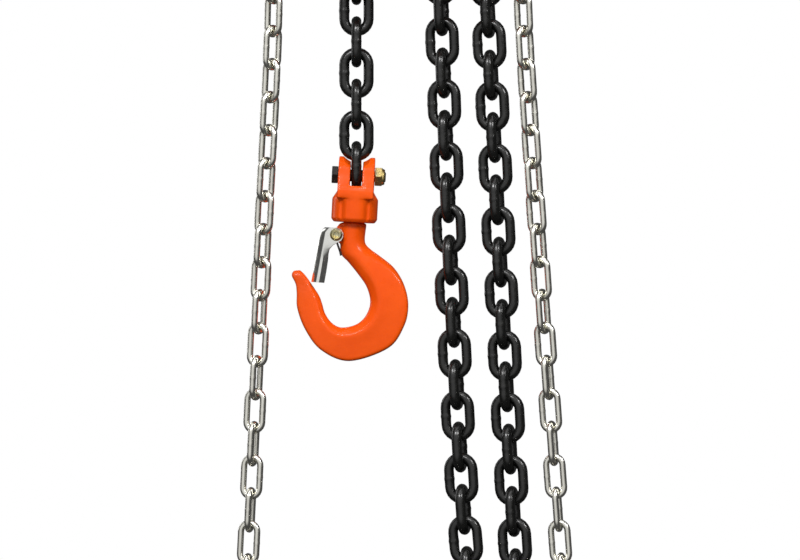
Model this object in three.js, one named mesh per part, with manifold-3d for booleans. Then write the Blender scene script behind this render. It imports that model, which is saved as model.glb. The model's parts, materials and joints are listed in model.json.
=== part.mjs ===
// Manual chain hoist, single fall. Millimetres, +Z up, +X right, front towards -Y.
// The origin is the seat of the top hook, where the hoist hangs.
import * as THREE from 'three';
import { mergeVertices } from 'three/addons/utils/BufferGeometryUtils.js';
import Module from 'manifold-3d';

// ---- Driving dimensions ----
const LOAD_CHAIN = { wire: 8, pitch: 24, width: 26.5 };
const HAND_CHAIN = { wire: 5, pitch: 25, width: 17.5 };
const SHEAVE_POCKETS = 4;
const WHEEL_POCKETS = 12;
const SHEAVE_RADIUS = 31.66; // pitch radius of a 4-pocket sheave for the load chain
const WHEEL_RADIUS = 95.8; // pitch radius of a 12-pocket wheel for the hand chain
const WHEEL_Y = -55; // plane of the hand chain
const SHAFT_RADIUS = 7.9;
const GAP = 0.3; // clearance between pieces that rest against each other

const GEAR = { module: 1.5, pressure: 25, pinion: 9, disc: 45, second: 10, load: 44, addendum: 0.8 };
const GEAR_CENTRES = 40.5;

const PLATE = { inner: 19, outer: 24 }; // side plates, distance from the load chain plane
const SEAT_TO_YOKE = 81; // hook seat to the face its shank enters
const TOP_PIN = { x: -SHEAVE_RADIUS, z: 80 }; // from the hoist axis
const TOP_YOKE_TOP = 112; // above the hoist axis
const HOIST = { x: SHEAVE_RADIUS, z: -(SEAT_TO_YOKE + TOP_YOKE_TOP + GAP) };

const STAY_BOLTS = { left: [-66, 46], right: [66, 46], lower: [0, -66] };
const GUIDE_ROLLERS = { left: [-53, -30], right: [53, -24] };
const TAIL_PIN = [65.2, -78.4];
const PAWL_PIVOT = 56; // from the hoist axis
const RATCHET = { teeth: 16, root: 39.5, tip: 44, face: 30 };

const STRAND_X = -SHEAVE_RADIUS;
const LINK_NODES = 5; // separate links above the load yoke
const LOWEST_LINK = -276; // centre of the link in the load yoke, from the hoist axis
const CHAIN_PIN = { radius: 4.6, z: LOWEST_LINK - 7 };
const HOOK_TILT = THREE.MathUtils.degToRad(3);

const COLOURS = {
  orange: [0xf0541a, 0.35, 0.0],
  black: [0x1d1c1c, 0.45, 0.3],
  zinc: [0xb9b8b2, 0.35, 0.9],
  yellow_zinc: [0xb59c62, 0.35, 0.9],
  steel: [0x8a8d90, 0.4, 0.9],
  grey: [0x4b4f54, 0.5, 0.2],
  lining: [0x5b4636, 0.9, 0.0],
};

// ---- Solids ----
const wasm = await Module();
wasm.setup();

function solid(geometry) {
  const bare = geometry.index ? geometry.toNonIndexed() : geometry.clone();
  bare.deleteAttribute('normal');
  bare.deleteAttribute('uv');
  const merged = mergeVertices(bare, 1e-4);
  const vertProperties = new Float32Array(merged.attributes.position.array);
  const triVerts = new Uint32Array(merged.index.array);
  return new wasm.Manifold(new wasm.Mesh({ numProp: 3, vertProperties, triVerts }));
}

const join = (...solids) => solids.reduce((a, b) => a.add(b));
const cut = (first, ...others) => others.reduce((a, b) => a.subtract(b), first);

function cylinder(radius, from, to, at = [0, 0], sides = 24) {
  const geometry = new THREE.CylinderGeometry(radius, radius, to - from, sides);
  return solid(geometry.translate(at[0], (from + to) / 2, at[1]));
}

function upright(radius, from, to, at = [0, 0], sides = 24) {
  const geometry = new THREE.CylinderGeometry(radius, radius, to - from, sides);
  return solid(geometry.rotateX(Math.PI / 2).translate(at[0], at[1], (from + to) / 2));
}

function crosswise(radius, from, to, sides = 20) {
  const geometry = new THREE.CylinderGeometry(radius, radius, to - from, sides);
  return solid(geometry.rotateZ(Math.PI / 2).translate((from + to) / 2, 0, 0));
}

function block([x0, x1], [y0, y1], [z0, z1]) {
  const geometry = new THREE.BoxGeometry(x1 - x0, y1 - y0, z1 - z0);
  return solid(geometry.translate((x0 + x1) / 2, (y0 + y1) / 2, (z0 + z1) / 2));
}

// A profile of [radius, y] points turned about the Y axis.
function turned(profile, sides = 48) {
  const points = [...profile, profile[0]].map(([r, y]) => new THREE.Vector2(r, y));
  const area = THREE.ShapeUtils.area(points);
  return solid(new THREE.LatheGeometry(area > 0 ? points : points.reverse(), sides));
}

const ring = (inner, outer, from, to, sides = 28) =>
  turned([[inner, from], [outer, from], [outer, to], [inner, to]], sides);

// A shape drawn in X and Z, made solid from one Y to another.
function plate(shape, from, to, curveSegments = 4) {
  const settings = { depth: to - from, bevelEnabled: false, curveSegments };
  const geometry = new THREE.ExtrudeGeometry(shape, settings);
  return solid(geometry.rotateX(Math.PI / 2).translate(0, to, 0));
}

const polygon = (points) => new THREE.Shape(points.map(([x, z]) => new THREE.Vector2(x, z)));

// A polygon with every corner rounded.
function rounded(points, radius) {
  const shape = new THREE.Shape();
  const corner = (i) => new THREE.Vector2(...points[(i + points.length) % points.length]);
  points.forEach((_, i) => {
    const here = corner(i);
    const before = corner(i - 1).sub(here).setLength(radius).add(here);
    const after = corner(i + 1).sub(here).setLength(radius).add(here);
    if (i === 0) shape.moveTo(before.x, before.y);
    else shape.lineTo(before.x, before.y);
    shape.quadraticCurveTo(here.x, here.y, after.x, after.y);
  });
  shape.closePath();
  return shape;
}

// Rings of equal point count joined into a skin, closed on itself or capped at both ends.
function loft(rings, closed = false) {
  const around = rings[0].length;
  const positions = rings.flat().flatMap((p) => [p.x, p.y, p.z]);
  const index = [];
  const steps = closed ? rings.length : rings.length - 1;
  for (let i = 0; i < steps; i++) {
    for (let j = 0; j < around; j++) {
      const a = i * around + j;
      const b = i * around + ((j + 1) % around);
      const c = ((i + 1) % rings.length) * around + j;
      const d = ((i + 1) % rings.length) * around + ((j + 1) % around);
      index.push(a, c, b, b, c, d);
    }
  }
  if (!closed) {
    for (const [start, flip] of [[0, false], [(rings.length - 1) * around, true]]) {
      for (let j = 1; j < around - 1; j++) {
        const fan = [start, start + j, start + j + 1];
        index.push(...(flip ? fan.reverse() : fan));
      }
    }
  }
  const geometry = new THREE.BufferGeometry();
  geometry.setAttribute('position', new THREE.Float32BufferAttribute(positions, 3));
  geometry.setIndex(index);
  const made = solid(geometry);
  if (made.volume() > 0) return made;
  for (let i = 0; i < index.length; i += 3) [index[i], index[i + 1]] = [index[i + 1], index[i]];
  geometry.setIndex(index);
  return solid(geometry);
}

// A round tube along a curve, with flat ends.
function tube(curve, radius, steps, sides = 10) {
  const section = new THREE.Shape();
  section.absarc(0, 0, radius, 0, 2 * Math.PI);
  const settings = { steps, extrudePath: curve, curveSegments: sides / 2, bevelEnabled: false };
  return solid(new THREE.ExtrudeGeometry(section, settings));
}

const routeInXZ = (points, y) =>
  new THREE.CatmullRomCurve3(points.map(([x, z]) => new THREE.Vector3(x, y, z)), false, 'centripetal');

// ---- The object, in nested groups ----
const hoist = new THREE.Group();
const body = new THREE.Group(); // everything measured from the hoist axis
body.position.set(HOIST.x, 0, HOIST.z);
const lower = new THREE.Group(); // load yoke and hook, measured from the chain pin
lower.position.set(STRAND_X, 0, CHAIN_PIN.z);
lower.rotation.y = HOOK_TILT;
const upper = new THREE.Group(); // top hook, seat on the origin
upper.rotation.y = Math.PI;
body.add(lower);
hoist.add(body, upper);

function add(group, name, made, look) {
  const { vertProperties, triVerts } = made.getMesh();
  const geometry = new THREE.BufferGeometry();
  geometry.setAttribute('position', new THREE.BufferAttribute(new Float32Array(vertProperties), 3));
  geometry.setIndex(new THREE.BufferAttribute(new Uint32Array(triVerts), 1));
  geometry.computeVertexNormals();
  const [color, roughness, metalness] = COLOURS[look];
  const mesh = new THREE.Mesh(geometry, new THREE.MeshStandardMaterial({ color, roughness, metalness }));
  mesh.name = name;
  group.add(mesh);
}

// ---- Hooks ----
// Pairs of points on the inner and outer outline of the hook, from the shank round the bowl to the
// tip, with the thickness across each pair. Measured from the pin, shank on the Z axis.
const HOOK_STATIONS = [
  [-9.5, -36.5, 9.5, -36.5, 19],
  [-9.5, -50, 8.9, -50, 19],
  [-8.4, -60.5, 13, -55.5, 20],
  [-2.5, -66.6, 21, -60.8, 21.5],
  [5.5, -75.5, 32.5, -69.5, 23],
  [12.6, -85, 41, -82.5, 24.5],
  [16, -96.4, 44.8, -98, 25.5],
  [13.2, -107, 42.2, -114, 25.5],
  [6.2, -114.3, 31, -131, 25],
  [-5, -117.5, 2, -142.3, 23.5],
  [-12.8, -114.6, -20, -135, 21],
  [-18.6, -107.6, -33, -119.8, 18],
  [-21.6, -99.5, -39.8, -104, 15.5],
  [-24.2, -93.5, -40.8, -93, 13.5],
  [-29.2, -86.6, -42, -85.6, 11],
  [-35.5, -78.6, -45.4, -79.2, 8.5],
  [-39.8, -74.8, -44.2, -75.4, 5],
];
const SHANK = { radius: 7.5, end: -14.2 };
const LATCH_HINGE = [-13, -46.1];
const SEAT = [-5, -117.5];

// Moves the bowl sideways and leaves the shank where it is.
const shifted = (x, z, offset) => x + offset * THREE.MathUtils.clamp((-z - 50) / 35, 0, 1);

function hookBody(offset) {
  const stations = HOOK_STATIONS.map(([xi, zi, xo, zo, t]) => ({
    inner: new THREE.Vector3(shifted(xi, zi, offset), 0, zi),
    outer: new THREE.Vector3(shifted(xo, zo, offset), 0, zo),
    thick: new THREE.Vector3(t, 0, 0),
  }));
  const curves = ['inner', 'outer', 'thick'].map(
    (key) => new THREE.CatmullRomCurve3(stations.map((s) => s[key]), false, 'catmullrom', 0.5));
  const count = 24;
  const rings = [];
  for (let i = 0; i <= count; i++) {
    const [inner, outer, thick] = curves.map((curve) => curve.getPoint(i / count));
    const centre = inner.clone().lerp(outer, 0.5);
    const reach = outer.clone().sub(centre);
    const round = THREE.MathUtils.lerp(1, 0.86, THREE.MathUtils.clamp((i - 3) / 5, 0, 1));
    rings.push(Array.from({ length: 12 }, (_, j) => {
      const angle = (2 * Math.PI * j) / 12;
      const along = Math.sign(Math.cos(angle)) * Math.abs(Math.cos(angle)) ** round;
      const across = Math.sign(Math.sin(angle)) * Math.abs(Math.sin(angle)) ** round;
      const p = centre.clone().addScaledVector(reach, along);
      p.y = (thick.x / 2) * across * (1 - 0.1 * along);
      return p;
    }));
  }
  const lug = cylinder(5, -4.5, 4.5, LATCH_HINGE, 20);
  const seat = SEAT[0] + offset;
  const flat = block([seat - 4, seat + 4], [-4, 4], [SEAT[1] - 0.6, SEAT[1] + 3]);
  const shank = upright(SHANK.radius, -40, SHANK.end, [0, 0], 24);
  return cut(join(loft(rings), shank, lug), cylinder(3.25, -20, 20, LATCH_HINGE, 16), flat);
}

function latch(offset) {
  const [hx, hz] = LATCH_HINGE;
  const outline = new THREE.Shape();
  const lineTo = (x, z) => outline.lineTo(shifted(x, z, offset), z);
  outline.moveTo(hx - 3, hz + 4.5);
  outline.absarc(hx, hz, 5.4, 2.1, -0.9, true);
  lineTo(-16.4, -55);
  lineTo(-18.4, -59);
  lineTo(-18.6, -66);
  lineTo(-20.5, -83.6);
  lineTo(-30.4, -83.4);
  lineTo(-25.4, -44);
  lineTo(-22.4, -41);
  outline.closePath();
  const web = polygon([[-23.2, -44], [-25.4, -44], [-30.4, -83.4], [-28.3, -83.4]]
    .map(([x, z]) => [shifted(x, z, offset), z]));
  const cheek = (from, to) => plate(outline, from, to);
  const made = join(cheek(-9.2, -7.2), cheek(7.2, 9.2), plate(web, -7.5, 7.5));
  return cut(made, cylinder(3.25, -20, 20, LATCH_HINGE, 16));
}

function hookPieces(group, prefix, offset, look) {
  add(group, `${prefix}_hook`, hookBody(offset), look);
  const nut = cut(upright(10.4, -22.6, -14.8, [0, 0], 6), upright(SHANK.radius + GAP, -30, 0));
  add(group, `${prefix}_hook_nut`, nut, 'steel');
  add(group, `${prefix}_latch`, latch(offset), 'zinc');
  const bolt = join(cylinder(3, -11, 12.2, LATCH_HINGE, 16), cylinder(5, -12.4, -9.5, LATCH_HINGE, 6));
  add(group, `${prefix}_latch_bolt`, bolt, 'yellow_zinc');
  const coil = ring(3.3, 4.6, -6.9, -4.9, 12).translate(LATCH_HINGE[0], 0, LATCH_HINGE[1]);
  add(group, `${prefix}_latch_spring`, coil, 'black');
}

hookPieces(lower, 'load', 0, 'orange');
hookPieces(upper, 'top', -SEAT[0], 'orange');
upper.children.forEach((mesh) => mesh.geometry.translate(0, 0, -SEAT[1]));

// ---- Load yoke, chain pin and nut ----
function loadYoke() {
  const ear = new THREE.Shape();
  ear.moveTo(14.5, 0);
  ear.absarc(0, 0, 14.5, 0, Math.PI);
  ear.lineTo(-18, -13);
  ear.lineTo(-18, -18);
  ear.lineTo(18, -18);
  ear.lineTo(18, -13);
  ear.closePath();
  const ears = plate(ear, -13.9, 13.9).rotate([0, 0, 90]);
  const profile = [[0, -36], [15.8, -36], [17.7, -33.5], [17.7, -18], [13.9, -12], [0, -12]];
  const barrel = turned(profile, 36).rotate([90, 0, 0]);
  const nutWindow = block([-11.2, 11.2], [-11.2, 25], [-23.2, -13.6]);
  const slot = block([-4.75, 4.75], [-30, 30], [-8.3, 30]);
  const linkRest = cylinder(14.4, -30, 30, [0, 24.4], 32);
  const linkRests = [-24, 0, 24].map((swing) => linkRest.rotate([swing, 0, 0]));
  const pocket = block([-4.75, 4.75], [-14.3, 14.3], [-13.4, 0]);
  const shankBore = upright(SHANK.radius + GAP, -40, -20);
  const pinBore = crosswise(CHAIN_PIN.radius + GAP, -40, 40);
  return cut(join(ears, barrel), nutWindow, slot, ...linkRests, pocket, shankBore, pinBore);
}
add(lower, 'load_yoke', loadYoke(), 'orange');
const bolt = join(crosswise(CHAIN_PIN.radius, -15, 23.6), crosswise(7.4, -18.9, -14.2, 6));
add(lower, 'chain_pin_bolt', bolt, 'black');
const chainPinNut = cut(crosswise(8.1, 14.2, 23, 6), crosswise(CHAIN_PIN.radius + GAP, 0, 40));
add(lower, 'chain_pin_nut', chainPinNut, 'yellow_zinc');

// ---- Load strand: separate links and the plain stretch above them ----
function chainLink(chain, thinner) {
  const bend = (chain.width - chain.wire) / 2;
  const straight = (chain.pitch + chain.wire) / 2 - bend;
  const radius = chain.wire / 2 - thinner;
  const rings = [];
  for (const side of [1, -1]) {
    for (let i = 0; i <= 6; i++) {
      const angle = (Math.PI * i) / 6 + (side > 0 ? 0 : Math.PI);
      const out = new THREE.Vector3(Math.cos(angle), 0, Math.sin(angle));
      const centre = out.clone().multiplyScalar(bend).add(new THREE.Vector3(0, 0, side * straight));
      rings.push(Array.from({ length: 8 }, (_, j) => {
        const turn = (Math.PI * (2 * j + 1)) / 8;
        const p = centre.clone().addScaledVector(out, radius * Math.cos(turn));
        p.y = radius * Math.sin(turn);
        return p;
      }));
    }
  }
  return loft(rings, true);
}

for (let k = 0; k < LINK_NODES; k++) {
  const faceOn = k % 2 === 1;
  const link = chainLink(LOAD_CHAIN, 0.15).rotate([0, 0, faceOn ? 0 : 90]);
  const z = LOWEST_LINK + LOAD_CHAIN.pitch * k;
  add(body, `load_link_${k + 1}`, link.translate(STRAND_X, 0, z), 'black');
}
const strandFoot = LOWEST_LINK + LOAD_CHAIN.pitch * (LINK_NODES - 1) + 20 + GAP;
const strandStart = -92;
const strand = upright(LOAD_CHAIN.width / 2, strandFoot, strandStart, [STRAND_X, 0], 16);
add(body, 'load_chain_strand', strand, 'black');

// ---- Chain over the sheave, slack loop and hand chain ----
class WrapCurve extends THREE.Curve {
  constructor(radius, y, leftFoot, rightFoot) {
    super();
    Object.assign(this, { radius, y, leftFoot, rightFoot });
  }
  getPoint(t) {
    const over = Math.PI * this.radius;
    let s = t * (this.leftFoot + over + this.rightFoot) - this.leftFoot;
    if (s < 0) return new THREE.Vector3(-this.radius, this.y, s);
    if (s > over) return new THREE.Vector3(this.radius, this.y, over - s);
    const angle = Math.PI - s / this.radius;
    return new THREE.Vector3(this.radius * Math.cos(angle), this.y, this.radius * Math.sin(angle));
  }
}
const onSheave = new WrapCurve(SHEAVE_RADIUS, 0, 0, 58);
add(body, 'load_chain_on_sheave', tube(onSheave, LOAD_CHAIN.wire / 2, 16, 8), 'black');
const onWheel = new WrapCurve(WHEEL_RADIUS - 0.6, WHEEL_Y, 98, 98);
add(body, 'hand_chain_on_wheel', tube(onWheel, HAND_CHAIN.wire / 2, 24, 6), 'zinc');

const SLACK_ROUTE = [
  [31.7, -64], [32.1, -105], [33.3, -148], [41.2, -363], [53.7, -578], [58.5, -618], [66, -635.5],
  [77, -641.5], [87.5, -635.5], [93.5, -618], [91, -578], [79.4, -363], [68.9, -148], [67.2, -122],
  [66, -104],
];
add(body, 'load_chain_slack', tube(routeInXZ(SLACK_ROUTE, 0), 13, 44, 8), 'black');
const HAND_ROUTE = [
  [-95, -101], [-93.6, -150], [-103.4, -363], [-113.3, -575], [-116.8, -640], [-106, -694],
  [-68, -727], [5, -738], [78, -727], [117, -694], [129, -640], [123.9, -575], [108.5, -363],
  [94.7, -150], [95, -101],
];
add(body, 'hand_chain_loop', tube(routeInXZ(HAND_ROUTE, WHEEL_Y), 8.6, 44, 8), 'zinc');

// ---- Side plates, stay bolts, rollers, stripper, tail pin ----
const PLATE_OUTLINE = [
  [-54, 98], [-10, 98], [34, 66], [80, 62], [84, 30], [84, -60], [76, -94], [50, -94], [36, -84],
  [-40, -84], [-72, -52], [-84, 0], [-84, 62],
];
const COVER = {
  outer: 115, inner: 112, front: -84, boss: -87, rim: -24.3, lug: 122, lugAngles: [30, 150, 270],
};
const BEARING = { inner: 18.3, outer: 27 };

const lugPlace = (angle) => {
  const a = THREE.MathUtils.degToRad(angle);
  return [COVER.lug * Math.cos(a), COVER.lug * Math.sin(a)];
};
const lugs = (radius, from, to) => COVER.lugAngles.map((a) => cylinder(radius, from, to, lugPlace(a), 14));

function sidePlate(from, to, extraHoles, extraArea) {
  const holes = [
    cylinder(BEARING.outer + GAP, from - 1, to + 1, [0, 0], 28),
    cylinder(8 + GAP, from - 1, to + 1, [TOP_PIN.x, TOP_PIN.z], 24),
    cylinder(4.6 + GAP, from - 1, to + 1, TAIL_PIN, 16),
    ...Object.values(STAY_BOLTS).map((at) => cylinder(5 + GAP, from - 1, to + 1, at, 12)),
    ...Object.values(GUIDE_ROLLERS).map((at) => cylinder(4 + GAP, from - 1, to + 1, at, 12)),
  ];
  return cut(join(plate(rounded(PLATE_OUTLINE, 12), from, to), ...extraArea), ...holes, ...extraHoles);
}
const pawlPivots = [[0, PAWL_PIVOT], [0, -PAWL_PIVOT]];
const pawlHoles = pawlPivots.map((at) => cylinder(4 + GAP, -30, -10, at, 12));
const journalHoles = [-1, 1].map((side) => cylinder(6 + GAP, 10, 30, [side * GEAR_CENTRES, 0], 20));
const coverSeat = [
  cylinder(COVER.outer, -PLATE.outer, -PLATE.inner, [0, 0], 40),
  ...lugs(9, -PLATE.outer, -PLATE.inner),
];
const screwHoles = lugs(3 + GAP, -30, -10);
const frontPlate = sidePlate(-PLATE.outer, -PLATE.inner, [...pawlHoles, ...screwHoles], coverSeat);
add(body, 'front_side_plate', frontPlate, 'orange');
add(body, 'rear_side_plate', sidePlate(PLATE.inner, PLATE.outer, journalHoles, []), 'orange');

for (const [place, at] of Object.entries(STAY_BOLTS)) {
  const sleeve = cylinder(7, -PLATE.inner + GAP, PLATE.inner - GAP, at, 12);
  const rod = cylinder(5, -23.8, 30, at, 12);
  const head = cylinder(8.6, 27.3, 34, at, 6);
  add(body, `stay_bolt_${place}`, join(rod, sleeve, head), 'zinc');
}
for (const [side, at] of Object.entries(GUIDE_ROLLERS)) {
  const roller = join(cylinder(6.5, -18.4, 18.4, at, 12), cylinder(4, -23.8, 23.8, at, 16));
  add(body, `chain_guide_${side}`, roller, 'steel');
}
const stripperShape = rounded(
  [[-16, -58], [-15, -46], [-3, -24], [3, -24], [15, -46], [16, -58], [12, -78], [-12, -78]], 2.5);
const stripper = cut(plate(stripperShape, -3.6, 3.6), cylinder(7 + GAP, -10, 10, STAY_BOLTS.lower, 20));
add(body, 'chain_stripper', stripper, 'steel');
const tailPinHead = cylinder(7, PLATE.outer + GAP, 28, TAIL_PIN, 16);
const tailPin = join(cylinder(4.6, -23.9, 27, TAIL_PIN, 16), tailPinHead);
add(body, 'tail_anchor_pin', tailPin, 'zinc');

// ---- Top yoke and its pin ----
function topYoke() {
  const top = TOP_YOKE_TOP;
  const outline = rounded([[-16, TOP_PIN.z - 16], [16, TOP_PIN.z - 16], [16, top], [-16, top]], 7);
  const whole = plate(outline, -18.6, 18.6).translate(TOP_PIN.x, 0, 0);
  const window = block([TOP_PIN.x - 11.5, TOP_PIN.x + 11.5], [-30, 30], [top - 23.2, top - 13.6]);
  const shankBore = upright(SHANK.radius + GAP, top - 20, top + 10, [TOP_PIN.x, 0]);
  const pinBore = cylinder(8 + GAP, -30, 30, [TOP_PIN.x, TOP_PIN.z], 24);
  return cut(whole, window, shankBore, pinBore);
}
add(body, 'top_yoke', topYoke(), 'orange');
const topPinAt = [TOP_PIN.x, TOP_PIN.z];
const topPin = join(cylinder(8, -23.8, 27, topPinAt), cylinder(11, 24.3, 27.5, topPinAt));
add(body, 'top_yoke_pin', topPin, 'zinc');

// ---- Load sheave and its bearings ----
function pocketWheel(profile, sides, chain, pockets, radius, y, firstPocket) {
  const middle = radius * Math.cos(Math.PI / (2 * pockets));
  const grooveFloor = middle - chain.width / 2 - 0.6;
  const groove = ring(grooveFloor, radius + 60, y - chain.wire / 2 - 0.75, y + chain.wire / 2 + 0.75, sides);
  const pocketLength = chain.pitch + 2 * chain.wire + 1.4;
  const half = chain.width / 2 + 0.7;
  const floor = middle - chain.wire / 2 - GAP;
  const box = block([floor, radius + 60], [y - half, y + half], [-pocketLength / 2, pocketLength / 2]);
  const step = 360 / pockets;
  const boxes = Array.from({ length: pockets }, (_, i) => box.rotate([0, -(firstPocket + step * i), 0]));
  return cut(turned(profile, sides), groove, ...boxes);
}
const sheaveProfile = [
  [SHAFT_RADIUS + 0.7, -25], [18, -25], [18, -17.6], [44, -17.6], [44, -14.5], [38, -11], [38, 11],
  [44, 14.5], [44, 17.6], [18, 17.6], [18, 26], [14, 26], [14, 38.6], [SHAFT_RADIUS + 0.7, 38.6],
];
const sheave = pocketWheel(sheaveProfile, 24, LOAD_CHAIN, SHEAVE_POCKETS, SHEAVE_RADIUS, 0, 67.5);
add(body, 'load_sheave', sheave, 'steel');
add(body, 'sheave_bearing_front', ring(BEARING.inner, BEARING.outer, -25.6, -18.2), 'steel');
add(body, 'sheave_bearing_rear', ring(BEARING.inner, BEARING.outer, 18.2, 25.6), 'steel');

// ---- Gears ----
// A spur gear outline: flanks follow the involute of the base circle, with room for backlash.
function gearShape(teeth, addendum, flankSteps, phase = 0) {
  const { module, pressure } = GEAR;
  const pitch = (module * teeth) / 2;
  const base = pitch * Math.cos(THREE.MathUtils.degToRad(pressure));
  const roll = (r) => {
    const tangent = Math.sqrt(Math.max((r / base) ** 2 - 1, 0));
    return tangent - Math.atan(tangent);
  };
  const backlash = 0.2 / pitch;
  const halfAt = (r) => Math.PI / (2 * teeth) - backlash + roll(pitch) - roll(Math.max(r, base));
  const tip = pitch + addendum * module;
  const root = pitch - 1.15 * module;
  const radii = Array.from({ length: flankSteps + 1 }, (_, i) => root + ((tip - root) * i) / flankSteps);
  const points = [];
  for (let i = 0; i < teeth; i++) {
    const middle = phase + (2 * Math.PI * i) / teeth;
    const side = (r, s) => [r * Math.cos(middle + s * halfAt(r)), r * Math.sin(middle + s * halfAt(r))];
    radii.forEach((r) => points.push(side(r, -1)));
    [...radii].reverse().forEach((r) => points.push(side(r, 1)));
  }
  return polygon(points);
}

const pinion = plate(gearShape(GEAR.pinion, 0.8, 2), 39.6, 49.4);
const shaft = join(cylinder(SHAFT_RADIUS, -78, 39.2, [0, 0], 32), pinion, cylinder(5, 38, 55.4, [0, 0], 20));
add(body, 'drive_shaft', shaft, 'steel');
for (const [side, name] of [[-1, 'left'], [1, 'right']]) {
  const wheel = plate(gearShape(GEAR.disc, GEAR.addendum, 1), 40.2, 48);
  const second = plate(gearShape(GEAR.second, 0.8, 2, Math.PI / GEAR.second), 27, 40.3);
  const journal = cylinder(6, 19.4, 55.4, [0, 0], 20);
  add(body, `disc_gear_${name}`, join(wheel, second, journal).translate(side * GEAR_CENTRES, 0, 0), 'steel');
}
const loadGear = cut(plate(gearShape(GEAR.load, GEAR.addendum, 1), 27, 37), cylinder(14 + GAP, 20, 50));
add(body, 'load_gear', loadGear, 'steel');

// A housing over the gears, with a flange on the rear side plate and blind seats for the journals.
function gearCover() {
  const stadium = (grow) => {
    const shape = new THREE.Shape();
    shape.absarc(GEAR_CENTRES, 0, grow, -Math.PI / 2, Math.PI / 2);
    shape.absarc(-GEAR_CENTRES, 0, grow, Math.PI / 2, (3 * Math.PI) / 2);
    shape.closePath();
    return shape;
  };
  const shell = plate(stadium(41.5), 24.3, 58.5, 7);
  const flangeOutline = [
    [-78, 58], [78, 58], [84, 36], [84, -30], [40, -46],
    [16, -78], [-16, -78], [-40, -46], [-84, -30], [-84, 36],
  ];
  const stayHoles = Object.values(STAY_BOLTS).map((at) => cylinder(5 + GAP, 20, 30, at, 12));
  const flange = cut(plate(rounded(flangeOutline, 10), 24.3, 27), ...stayHoles);
  const hollow = plate(stadium(38), 20, 55.8, 7);
  const seats = [-1, 0, 1].map((side) =>
    ring(side === 0 ? 5 + GAP : 6 + GAP, 11, 50.2, 56, 20).translate(side * GEAR_CENTRES, 0, 0));
  return join(cut(join(shell, flange), hollow), ...seats);
}
add(body, 'gear_cover', gearCover(), 'orange');

// ---- Brake, ratchet and pawls ----
const hubBore = SHAFT_RADIUS + GAP;
const hub = turned([[hubBore, -44.2], [14, -44.2], [14, -32], [34, -32], [34, -27.8], [hubBore, -27.8]], 28);
add(body, 'brake_hub', hub, 'steel');
add(body, 'friction_disc_inner', ring(14.4, 33, -35.3, -32.3), 'lining');
add(body, 'friction_disc_outer', ring(14.4, 33, -44.3, -41.3), 'lining');

function ratchetShape() {
  const points = [];
  const step = 360 / RATCHET.teeth;
  for (let i = 0; i < RATCHET.teeth; i++) {
    const face = THREE.MathUtils.degToRad(90 + RATCHET.face + step * i);
    const at = (r, angle) => [r * Math.cos(angle), r * Math.sin(angle)];
    points.push(at(RATCHET.root, face), at(RATCHET.tip, face));
  }
  return polygon(points);
}
const ratchet = cut(plate(ratchetShape(), -41, -35.6), cylinder(14.4, -50, -30, [0, 0], 40));
add(body, 'ratchet_disc', ratchet, 'steel');

const pawlArm = polygon([[-3, 50.5], [-17.5, 37.9], [-20.6, 37.2], [-22, 42.5], [-4, 61]].reverse());
const pawl = cut(join(plate(pawlArm, -41, -36), cylinder(6.2, -41, -36, [0, PAWL_PIVOT], 20)),
  cylinder(4 + GAP, -50, -30, [0, PAWL_PIVOT], 20));
const pawlPinCollar = cylinder(5.6, -42.6, -41.3, [0, PAWL_PIVOT], 16);
const pawlPin = join(cylinder(4, -43.2, -19.3, [0, PAWL_PIVOT], 16), pawlPinCollar);
const pawlSpring = ring(4.5, 7, -35.6, -24.4, 16).translate(0, 0, PAWL_PIVOT);
for (const [turn, name] of [[0, 'upper'], [180, 'lower']]) {
  add(body, `pawl_${name}`, pawl.rotate([0, turn, 0]), 'steel');
  add(body, `pawl_pin_${name}`, pawlPin.rotate([0, turn, 0]), 'zinc');
  add(body, `pawl_spring_${name}`, pawlSpring.rotate([0, turn, 0]), 'steel');
}

// ---- Hand wheel, nut, cover and chain guides ----
const wheelProfile = [
  [SHAFT_RADIUS + GAP, -66], [22, -66], [22, -58], [80, -58], [80, -66.6], [101, -66.6], [101, -43.4],
  [80, -43.4], [80, -52], [22, -52], [22, -44.6], [SHAFT_RADIUS + GAP, -44.6],
];
const wheel = pocketWheel(wheelProfile, 36, HAND_CHAIN, WHEEL_POCKETS, WHEEL_RADIUS, WHEEL_Y, 7.5);
add(body, 'hand_wheel', wheel, 'grey');
const shaftNut = cut(cylinder(14, -75, -66.4, [0, 0], 6), cylinder(SHAFT_RADIUS + GAP, -90, 0));
add(body, 'shaft_nut', shaftNut, 'zinc');

function wheelCover() {
  const profile = [
    [0, COVER.boss], [56, COVER.boss], [61, COVER.front], [106, COVER.front], [115, -75], [115, COVER.rim],
    [112, COVER.rim], [112, -74], [105, -81], [0, -81],
  ];
  const cup = cut(join(turned(profile, 40), ...lugs(9, -30, COVER.rim)), ...lugs(3 + GAP, -40, -20),
    cylinder(COVER.inner, -40, -20, [0, 0], 40));
  const slots = [-1, 1].map((side) => block(
    [side > 0 ? 81.1 : -130, side > 0 ? 130 : -81.1], [WHEEL_Y - 15.3, WHEEL_Y + 15.3], [-112, -20]));
  return cut(cup, ...slots);
}
add(body, 'hand_wheel_cover', wheelCover(), 'orange');
COVER.lugAngles.forEach((angle, i) => {
  const at = lugPlace(angle);
  const screw = join(cylinder(3, -31, -19.2, at, 16), cylinder(5.6, -34.6, -30.3, at, 6));
  add(body, `cover_screw_${i + 1}`, screw, 'zinc');
});

for (const [side, name] of [[-1, 'left'], [1, 'right']]) {
  const x = side * 95;
  const outer = block([x - 13.6, x + 13.6], [WHEEL_Y - 15, WHEEL_Y + 15], [-90, -80]);
  const inner = block([x - 11, x + 11], [WHEEL_Y - 11, WHEEL_Y + 11], [-95, -75]);
  add(body, `hand_chain_guide_${name}`, cut(outer, inner), 'zinc');
}

export default hoist;
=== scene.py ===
"""Looks of the manual chain hoist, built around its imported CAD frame. Metres, +Z up, front towards -Y."""

import json
import math

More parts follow.
